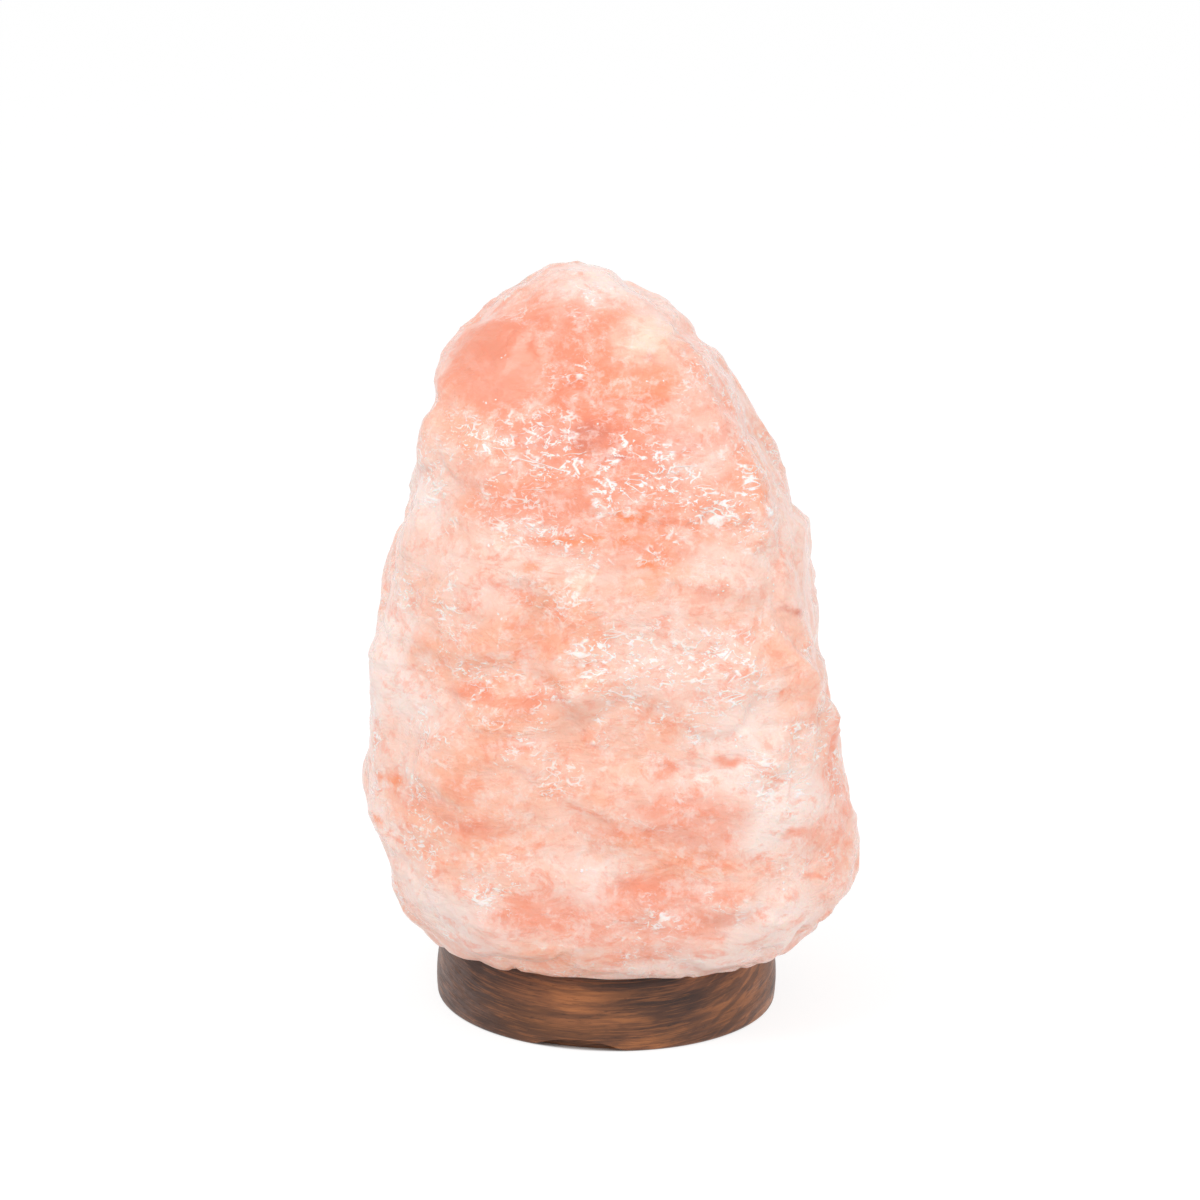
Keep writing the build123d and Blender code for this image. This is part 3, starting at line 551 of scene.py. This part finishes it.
# where the cracks and painted glints gather: place and reach in mm, strength
crackAndGlintGathers = [
    ((3, -50, 184), (44, 40, 15), 1.0),
    ((-40, -42, 186), (18, 30, 16), 0.9),
    ((38, -46, 178), (20, 30, 16), 1.0),
    ((-5, -64, 131), (24, 30, 7), 1.0),
    ((34, -60, 122), (16, 30, 16), 1.0),
    ((10, -64, 112), (30, 30, 9), 0.8),
    ((4, -68, 76), (13, 30, 5), 1.0),
    ((-36, -62, 113), (9, 30, 5), 1.0),
    ((-58, -52, 107), (6, 30, 6), 1.0),
    ((-43, -66, 70), (7, 30, 5), 0.9),
    ((-30, -30, 220), (10, 30, 5), 0.8),
    ((28, -26, 212), (10, 30, 12), 0.8),
    ((40, -64, 66), (12, 30, 8), 0.7),
    ((-20, -60, 146), (26, 30, 6), 0.7),
    ((-14, -66, 92), (20, 30, 6), 0.7),
    ((48, -56, 96), (10, 30, 12), 0.9),
    ((-8, -58, 164), (30, 30, 7), 0.9),
]
# listed clouds of colour: place and reach in mm, colour, strength
saltClouds = [
    ((-16, -36, 208), (50, 44, 24), "salmon", 0.95),
    ((8, -42, 198), (36, 40, 16), "salmon", 0.80),
    ((2, -56, 174), (34, 30, 13), "salmon", 0.75),
    ((-50, -36, 192), (14, 30, 9), "peach", 0.70),
    ((-58, -33, 178), (9, 30, 14), "blush", 0.60),
    ((-58, -42, 159), (16, 30, 12), "blush", 0.55),
    ((26, -32, 211), (9, 40, 13), "blush", 0.60),
    ((26, -48, 191), (14, 30, 7), "blush", 0.85),
    ((56, -40, 156), (12, 40, 24), "blush", 0.60),
    ((30, -56, 148), (20, 30, 8), "peach", 0.40),
    ((-34, -58, 158), (18, 30, 8), "blush", 0.50),
    ((-70, -30, 120), (10, 40, 26), "pale", 0.90),
    ((66, -44, 118), (7, 40, 30), "blush", 0.65),
    ((-51, -63, 48), (24, 30, 15), "pale", 1.0),
    ((54, -59, 78), (18, 30, 15), "pale", 0.95),
    ((50, -65, 46), (24, 30, 15), "pale", 1.0),
    ((36, -62, 104), (18, 30, 13), "pale", 0.80),
    ((28, -64, 32), (26, 30, 6), "pale", 0.75),
    ((-2, -69, 61), (10, 30, 6), "pale", 0.80),
    ((-40, -64, 132), (18, 30, 10), "peach", 0.70),
    ((0, -66, 104), (24, 30, 14), "peach", 0.75),
    ((22, -66, 80), (16, 30, 12), "salmon", 0.55),
    ((-15, -69, 48), (24, 30, 8), "salmon", 0.75),
    ((22, -67, 50), (14, 30, 8), "salmon", 0.65),
    ((-56, -56, 76), (14, 30, 8), "peach", 0.80),
    ((-30, -66, 82), (18, 30, 10), "peach", 0.60),
    ((70, -40, 90), (5, 30, 26), "salmon", 0.70),
    ((46, -64, 62), (14, 30, 6), "peach", 0.55),
    ((-16, -68, 78), (14, 30, 8), "blush", 0.70),
    ((-24, -30, 222), (14, 30, 8), "salmon", 0.70),
    ((-66, -46, 94), (10, 30, 8), "blush", 0.60),
]
# small marks: place and reach in mm, colour, strength
saltMarks = [
    ((-42, -28, 216), (14, 18, 9), "clay", 0.62),
    ((-36, -32, 206), (12, 18, 5), "rose", 0.60),
    ((-58, -34, 170), (9, 20, 6), "pale", 0.75),
    ((-30, -56, 174), (14, 16, 6), "salmon", 0.60),
    ((-7, -10, 233), (15, 20, 4), "pale", 0.80),
    ((12, -10, 226), (9, 16, 5), "pale", 0.60),
    ((7, -27, 220), (9, 14, 4.5), "cream", 0.95),
    ((12, -32, 213), (9, 14, 4), "blush", 0.45),
    ((14, 0, 226), (7, 14, 5), "blush", 0.70),
    ((5, -38, 210), (16, 12, 5), "orange", 0.45),
    ((-9, -47, 193), (9, 14, 3.5), "deep", 0.75),
    ((-24, -46, 193), (8, 14, 2.0), "deep", 0.40),
    ((18, -48, 192), (10, 14, 3.0), "deep", 0.25),
    ((-16, -40, 212), (20, 16, 9), "salmon", 0.45),
    ((-18, -32, 223), (16, 16, 6), "clay", 0.40),
    ((2, -50, 188), (12, 14, 4), "clay", 0.45),
    ((-51, -38, 193), (9, 16, 6), "peach", 0.50),
    ((25, -58, 147), (11, 12, 6), "blush", 0.40),
    ((32, -62, 104), (10, 12, 6), "pale", 0.35),
    ((-1, -50, 187), (4, 14, 2.2), "deep", 0.85),
    ((30, -44, 194), (7, 14, 2.5), "rose", 0.70),
    ((4, -56, 171), (5, 12, 1.5), "orange", 0.95),
    ((-8, -58, 164), (17, 12, 1.6), "orange", 0.75),
    ((8, -59, 156), (4, 12, 1.2), "orange", 0.80),
    ((-25, -60, 155), (4, 12, 1.0), "orange", 0.60),
    ((45, -39, 177), (5, 12, 1.2), "orange", 0.60),
    ((54, -43, 140), (3, 12, 1.6), "deep", 0.80),
    ((-71, -39, 118), (5, 20, 12), "pale", 0.85),
    ((-41, -60, 117), (8, 12, 2.4), "salmon", 0.85),
    ((-26, -64, 116), (7, 12, 2.0), "salmon", 0.75),
    ((-43, -66, 76), (9, 12, 3.0), "salmon", 0.80),
    ((35, -64, 99), (4, 12, 1.8), "salmon", 0.85),
    ((17, -66, 96), (3, 12, 2.0), "salmon", 0.75),
    ((12, -68, 59), (11, 12, 3.0), "salmon", 0.80),
    ((35, -69, 57), (6, 12, 2.2), "salmon", 0.70),
    ((23, -67, 50), (4, 12, 1.8), "salmon", 0.70),
    ((58, -60, 74), (5, 12, 2.0), "salmon", 0.60),
    ((65, -53, 60), (5, 12, 1.4), "salmon", 0.70),
    ((-67, -45, 83), (5, 12, 1.8), "orange", 0.80),
    ((-72, -45, 68), (2, 14, 2.0), "orange", 0.80),
    ((-60, -56, 80), (10, 12, 3.0), "salmon", 0.55),
]


# 1 in the middle of a cloud, 0 outside it; ragged is a shifted place that frays its border
def cloudMask(paint, ragged, place, reach, softness):
    offset = paint.node("ShaderNodeVectorMath", {
        0: ragged, 1: tuple(value * mm for value in place)}, operation="SUBTRACT").outputs[0]
    scaled = paint.node("ShaderNodeVectorMath", {
        0: offset, 1: tuple(1 / (value * mm) for value in reach)}, operation="MULTIPLY").outputs[0]
    length = paint.node("ShaderNodeVectorMath", {0: scaled}, operation="LENGTH").outputs["Value"]
    return paint.span(length, 1 - softness, 1 + softness, 1.0, 0.0)


# thin bright lines where a twisted noise passes its middle, broken up by a finer noise
def strokeLines(paint, scale, width, flatness, shift, leftOut):
    twisted = paint.shiftedPlace(strokeLook["twist"] / scale, scale * strokeLook["twistScale"])
    flat = paint.stretched((1.0, 1.0, flatness), shift, twisted)
    pattern = paint.noise(scale, 2.0, 0.5, 0.6, at=flat)
    fromMiddle = paint.calc("ABSOLUTE", paint.calc("SUBTRACT", pattern, 0.5))
    line = paint.span(fromMiddle, width * strokeLook["core"], width, 1.0, 0.0)
    borders = [leftOut + border for border in strokeLook["gapBorders"]]
    whole = paint.span(paint.noise(scale * strokeLook["gapScale"], 3.0, 0.6, at=flat), *borders)
    return paint.calc("MULTIPLY", line, whole)


def saltPatch(paint, name):
    pattern, shift, shown, strength = saltPatches[name]
    return paint.span(paint.noise(*pattern, at=paint.stretched(shift=shift)), *shown, 0.0, strength)


# 0 on the smooth places and 1 elsewhere
def roughPlaces(paint, frayed):
    kept = 1.0
    for place, reach in rockCalm:
        mask = cloudMask(paint, frayed, place, reach, salt["calmSoftness"])
        kept = paint.calc("SUBTRACT", kept, mask, clamp=True)
    return kept


# how much the cracks and painted glints show: at listed places on the front, in loose groups everywhere else
def crackAndGlintGather(paint, frayed):
    gather = saltPatch(paint, "loose")
    for place, reach, strength in crackAndGlintGathers:
        mask = cloudMask(paint, frayed, place, reach, salt["gatherSoftness"])
        gather = paint.calc("MAXIMUM", gather, paint.calc("MULTIPLY", mask, strength))
    return paint.calc("MULTIPLY", gather, saltPatch(paint, "broken"))


# all strokes, frost and grains together: white cracks in the salt, partly painted glints
def saltCracksAndGlints(paint, gather):
    cracksAndGlints = saltPatch(paint, "frost")
    for stroke in crackAndGlintStrokes:
        cracksAndGlints = paint.calc("MAXIMUM", cracksAndGlints, strokeLines(paint, *stroke))
    shown = paint.calc("MULTIPLY", cracksAndGlints, gather)
    grainsAndGlints = paint.cells(salt["grainsAndGlints"], paint.shiftedPlace(*salt["grainFray"]))
    grainsAndGlints = paint.span(grainsAndGlints, *salt["grainEdge"], 1.0, 0.0)
    return paint.calc("MAXIMUM", shown, paint.calc("MULTIPLY", grainsAndGlints, saltPatch(paint, "grainsAndGlints")))


def veiled(paint, shade, veil, stretch=(1.0, 1.0, 1.0), where=1.0):
    scale, roughness, twist, shift, span, colour, strength = veil
    pattern = paint.noise(scale, 7.0, roughness, twist, at=paint.stretched(stretch, shift))
    shown = paint.calc("MULTIPLY", paint.span(pattern, *span), paint.calc("MULTIPLY", where, strength))
    return paint.mix(shown, shade, salt[colour])


def clouded(paint, shade, clouds, ragged, softness, colours):
    for place, reach, colour, strength in clouds:
        mask = cloudMask(paint, ragged, place, reach, softness)
        shade = paint.mix(paint.calc("MULTIPLY", mask, strength), shade, colours[colour])
    return shade


# painted sheen: a paler colour mixed in where the surface turns away from the view, standing in for the
# reflection at grazing angles
def paintedEdgeSheen(paint, shade, rim, colour):
    blend, low, high, strength = rim
    facing = paint.node("ShaderNodeLayerWeight", {"Blend": blend}).outputs["Facing"]
    return paint.mix(paint.span(facing, low, high, 0.0, strength), shade, colour)


def saltRelief(paint, banded, bright):
    pattern, height, strength = salt["waves"]
    waves = paint.bump(paint.noise(*pattern, at=banded), height, strength)
    scale, height, strength = salt["cleaved"]
    cells = paint.cells(scale, paint.shiftedPlace(*salt["cleavedFray"]))
    cleaved = paint.bump(cells, height, strength, waves)
    pattern, height, strength = salt["fine"]
    fine = paint.calc("ADD", paint.noise(*pattern), paint.calc("MULTIPLY", bright, salt["proud"]))
    return paint.bump(fine, height, strength, cleaved)


def saltMaterial():
    paint = Paint("salt_crystal")
    banded = paint.stretched(salt["banding"])
    broad = paint.noise(*salt["broad"], at=banded)
    shade = paint.ramp(broad, [(stop, salt[colour]) for stop, colour in salt["shades"]])
    frayed = paint.shiftedPlace(*salt["cloudFray"])
    shade = clouded(paint, shade, saltClouds, frayed, salt["cloudSoftness"], salt)
    for veil in saltVeils:
        shade = veiled(paint, shade, veil, salt["banding"])
    torn = paint.shiftedPlace(*salt["markFray"])
    shade = clouded(paint, shade, saltMarks, torn, salt["markSoftness"], salt)
    veined = roughPlaces(paint, frayed)
    shade = veiled(paint, shade, saltMilk, where=veined)
    shade = veiled(paint, shade, saltMurk)
    shade = paintedEdgeSheen(paint, shade, salt["rim"], salt["edge"])
    gather = paint.calc("MULTIPLY", crackAndGlintGather(paint, frayed), veined)
    bright = saltCracksAndGlints(paint, gather)
    # the white of the cracks and of the painted glints goes into the colour
    shade = paint.mix(paint.calc("MULTIPLY", bright, salt["crackAndGlintStrength"]), shade, salt["white"])
    normal = saltRelief(paint, banded, bright)
    scale, *spread = salt["roughness"]
    rough = paint.span(paint.noise(scale), *spread)
    # the emission is a painted glow that lightens the salt's shade
    return paint.finish(
        Base_Color=shade, Roughness=rough, Normal=normal, IOR=1.54, Coat_Weight=0.25, Coat_Roughness=0.1,
        Subsurface_Weight=0.40, Subsurface_Radius=(1.0, 0.5, 0.36), Subsurface_Scale=salt["glow"],
        Emission_Color=salt["orange"], Emission_Strength=salt["paintedGlow"])


saltStone = saltMaterial()
makeRock(saltStone)
say("salt rock")


wood = {
    "black": tint(44, 31, 28), "dark": tint(74, 48, 37), "brown": tint(120, 76, 52),
    # grey is the painted sheen of the left end, and sheen the painted sheen of the edges that turn away
    "gold": tint(182, 116, 70), "grey": tint(124, 104, 98), "sheen": tint(168, 152, 144),
    "lean": 0.14,           # radians, how far the layers of the board rise from front to back
    "bend": (4 * mm, 16.0, 3.0),        # wander of the grain: how far, its scale and detail
    "depth": 0.5,                       # of a streak, front to back, against its length
    # where each shade lies in the broad grain
    "shades": [(0.30, "black"), (0.42, "dark"), (0.52, "brown"), (0.64, "gold")],
    "cloudFray": (12 * mm, 60.0, 4.0), "cloudSoftness": 0.7,
    "leftEnd": (-52 * mm, -30 * mm), "rightEnd": (14 * mm, 34 * mm),
    # painted sheen on the edges that turn away: blend, from, to, strength
    "rim": (0.25, 0.55, 1.0, 0.55),
    "relief": (0.12 * mm, 0.5),
    "roughness": (0.3, 0.7, 0.52, 0.38),        # span of the broad grain, roughness from and to
}
# grain: thickness of the streaks, their length against it, tilt, detail and shift
woodBroad = (6.0 * mm, 7.0, 0.04)
# layers over it: the same, then the span that shows, colour and strength
woodLayers = {
    "lines": ((1.3 * mm, 20.0, 0.03, 5.0, (2, 5, 3)), (0.46, 0.62), "dark", 0.50),
    "threads": ((0.6 * mm, 30.0, 0.03, 4.0, (7, 1, 4)), (0.50, 0.64), "gold", 0.36),
    "bands": ((3.2 * mm, 9.0, 0.50, 2.0, (1, 2, 8)), (0.46, 0.58), "dark", 0.60),
    # painted sheen: grey streaks over the left end
    "leftSheen": ((2.0 * mm, 8.0, 0.05), (0.40, 0.60), "grey", 0.40),
    "pores": ((0.5 * mm, 9.0, 0.10, 3.0, (1, 9, 2)), (0.58, 0.68), "black", 0.40),
}
# tones of the wood, and a painted shade in the front scallop of the foot: place and reach in mm, colour,
# strength
woodTonesAndScallopShade = [
    ((-48, -30, 12), (20, 40, 20), "dark", 0.70),
    ((-34, -46, 6), (14, 30, 7), "black", 0.45),
    ((-12, -52, 10), (20, 30, 10), "gold", 0.35),
    ((8, -54, 20), (10, 30, 7), "black", 0.55),
    ((26, -48, 8), (12, 30, 6), "dark", 0.55),
    ((44, -34, 14), (12, 30, 14), "gold", 0.40),
    ((-22, -50, 22), (14, 30, 4), "dark", 0.40),
    ((17, -52, 14), (9, 30, 9), "black", 0.45),
    # painted shade: darkens the wood in the front scallop of the foot
    ((-8, -54, 2), (13, 30, 4), "dark", 0.50),
    ((44, -34, 12), (10, 30, 7), "gold", 0.30),
]


# streaks of grain along the wood: thickness of the streaks, their length against it, tilt
def woodStreaks(paint, thickness, stretch, tilt, detail=4.0, shift=(0, 0, 0)):
    bent = paint.shiftedPlace(*wood["bend"])
    length = thickness * stretch
    place = paint.node("ShaderNodeMapping", {
        "Vector": bent, "Scale": (length, length * wood["depth"], thickness),
        "Rotation": (wood["lean"], -tilt, 0), "Location": shift}, vector_type="TEXTURE").outputs[0]
    return paint.noise(1.0, detail, 0.6, 0.3, at=place)


# one more layer of grain over the shade, and its pattern
def grained(paint, shade, layer, where=1.0):
    streaks, span, colour, strength = woodLayers[layer]
    pattern = paint.span(woodStreaks(paint, *streaks), *span)
    shown = paint.calc("MULTIPLY", paint.calc("MULTIPLY", where, pattern), strength)
    return paint.mix(shown, shade, wood[colour]), pattern


def woodMaterial():
    paint = Paint("dark_stained_wood")
    broad = woodStreaks(paint, *woodBroad)
    shade = paint.ramp(broad, [(stop, wood[colour]) for stop, colour in wood["shades"]])
    ragged = paint.shiftedPlace(*wood["cloudFray"])
    shade = clouded(paint, shade, woodTonesAndScallopShade, ragged, wood["cloudSoftness"], wood)
    shade, lines = grained(paint, shade, "lines")
    shade, _ = grained(paint, shade, "threads")
    # on the right the grain rises in soft broad bands; on the left, grey streaks are painted sheen
    across = paint.node("ShaderNodeSeparateXYZ", {0: paint.place}).outputs["X"]
    shade, _ = grained(paint, shade, "bands", paint.span(across, *wood["rightEnd"]))
    shade, _ = grained(paint, shade, "leftSheen", paint.span(across, *wood["leftEnd"], 1.0, 0.0))
    shade = paintedEdgeSheen(paint, shade, wood["rim"], wood["sheen"])
    shade, pores = grained(paint, shade, "pores")
    normal = paint.bump(paint.calc("ADD", lines, pores), *wood["relief"])
    rough = paint.span(broad, *wood["roughness"])
    return paint.finish(
        Base_Color=shade, Roughness=rough, Normal=normal, Specular_IOR_Level=0.35,
        Coat_Weight=0.05, Coat_Roughness=0.3)


plain = {
    "span": (0.3, 0.7),             # of the noise that shows
    "cloudScale": 0.15,             # of the darker clouds, against the grain
    "darker": 0.90,
    "smoother": 0.8, "rougher": 1.2,
    "bumpStrength": 0.4,
}


# finishes of the parts inside: colour, metal, roughness, scale and depth of the grain, extras
def plainMaterial(name, colour, metal, roughness, grain, depth, **extra):
    paint = Paint(name)
    cloud = paint.span(paint.noise(grain * plain["cloudScale"]), *plain["span"])
    darker = tuple(part * plain["darker"] for part in colour[:3]) + (1.0,)
    shade = paint.mix(cloud, darker, colour)
    spread = (roughness * plain["smoother"], roughness * plain["rougher"])
    rough = paint.span(paint.noise(grain, 3.0, 0.6), *plain["span"], *spread)
    normal = paint.bump(paint.noise(grain, 4.0, 0.6), depth * mm, plain["bumpStrength"])
    return paint.finish(Base_Color=shade, Metallic=metal, Roughness=rough, Normal=normal, **extra)


finishes = {
    "white_plastic": plainMaterial("white_moulded_plastic", tint(232, 229, 220), 0.0, 0.34, 900, 0.03),
    "cream_plastic": plainMaterial("cream_moulded_plastic", tint(222, 208, 176), 0.0, 0.5, 900, 0.04),
    "grey_plastic": plainMaterial("grey_wall_plug", tint(140, 142, 144), 0.0, 0.5, 900, 0.04),
    "brass": plainMaterial("drawn_brass", tint(214, 176, 98), 1.0, 0.28, 600, 0.02),
    "zinc_steel": plainMaterial("zinc_plated_steel", tint(196, 198, 196), 1.0, 0.34, 700, 0.03),
    "spring_steel": plainMaterial("spring_steel", tint(150, 150, 154), 1.0, 0.30, 500, 0.02),
    "solder": plainMaterial("soft_solder", tint(190, 190, 192), 1.0, 0.42, 900, 0.05),
    "dark_insulator": plainMaterial("black_glass", tint(24, 24, 28), 0.0, 0.12, 500, 0.02),
    "nickel": plainMaterial("nickel_plate", tint(205, 200, 188), 1.0, 0.2, 600, 0.015),
    "tungsten": plainMaterial("tungsten_wire", tint(96, 96, 100), 1.0, 0.45, 2000, 0.01),
    "clear_glass": plainMaterial(
        "clear_bulb_glass", tint(252, 252, 252), 0.0, 0.03, 60, 0.01, Transmission_Weight=1.0, IOR=1.45),
    "dark_wood": woodMaterial(),
    "salt": saltStone,
}


def dressNodes():
    slots = {row["node"]: row["material_slot"] for row in frame["record"]["subparts"]}
    for node, cadObject in frame["nodes"].items():
        cadObject.data.materials.clear()
        cadObject.data.materials.append(finishes[slots[node]])


dressNodes()
say("finishes")

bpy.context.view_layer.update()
say("done")
